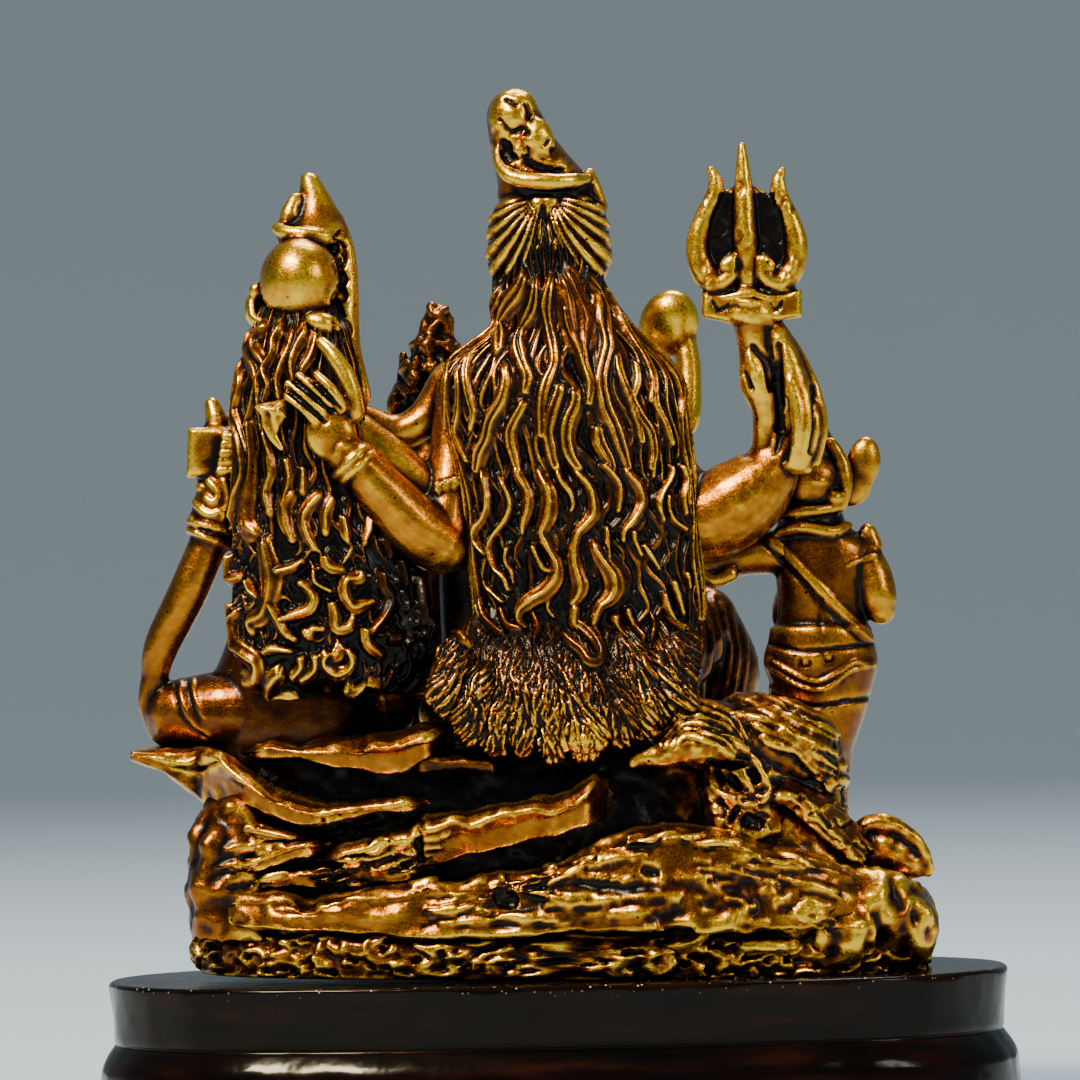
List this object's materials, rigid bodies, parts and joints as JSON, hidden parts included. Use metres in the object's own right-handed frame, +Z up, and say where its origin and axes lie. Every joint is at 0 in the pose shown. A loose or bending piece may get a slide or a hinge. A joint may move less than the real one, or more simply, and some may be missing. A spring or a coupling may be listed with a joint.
{
  "type": "shiva family statue",
  "caption": "Cast resin family group of seated and standing Hindu deities on layered rock, finished in antique gold, standing on a moulded black lacquered oval plinth.",
  "frame": {"origin": "middle of the plinth's underside", "axes": "+Z up, +Y the way the figures face, +X to the right of someone who looks at their backs"},
  "size_m": [0.1476, 0.0848, 0.1653],
  "materials": {
    "antique_gold_resin": "gold metallic paint over cast polyresin, with a black antique wash left in the hollows",
    "black_lacquer": "glossy black-brown lacquer with small chips"
  },
  "bodies": {
    "root": {"statue": "antique_gold_resin", "plinth": "black_lacquer"}
  },
  "joints": []
}
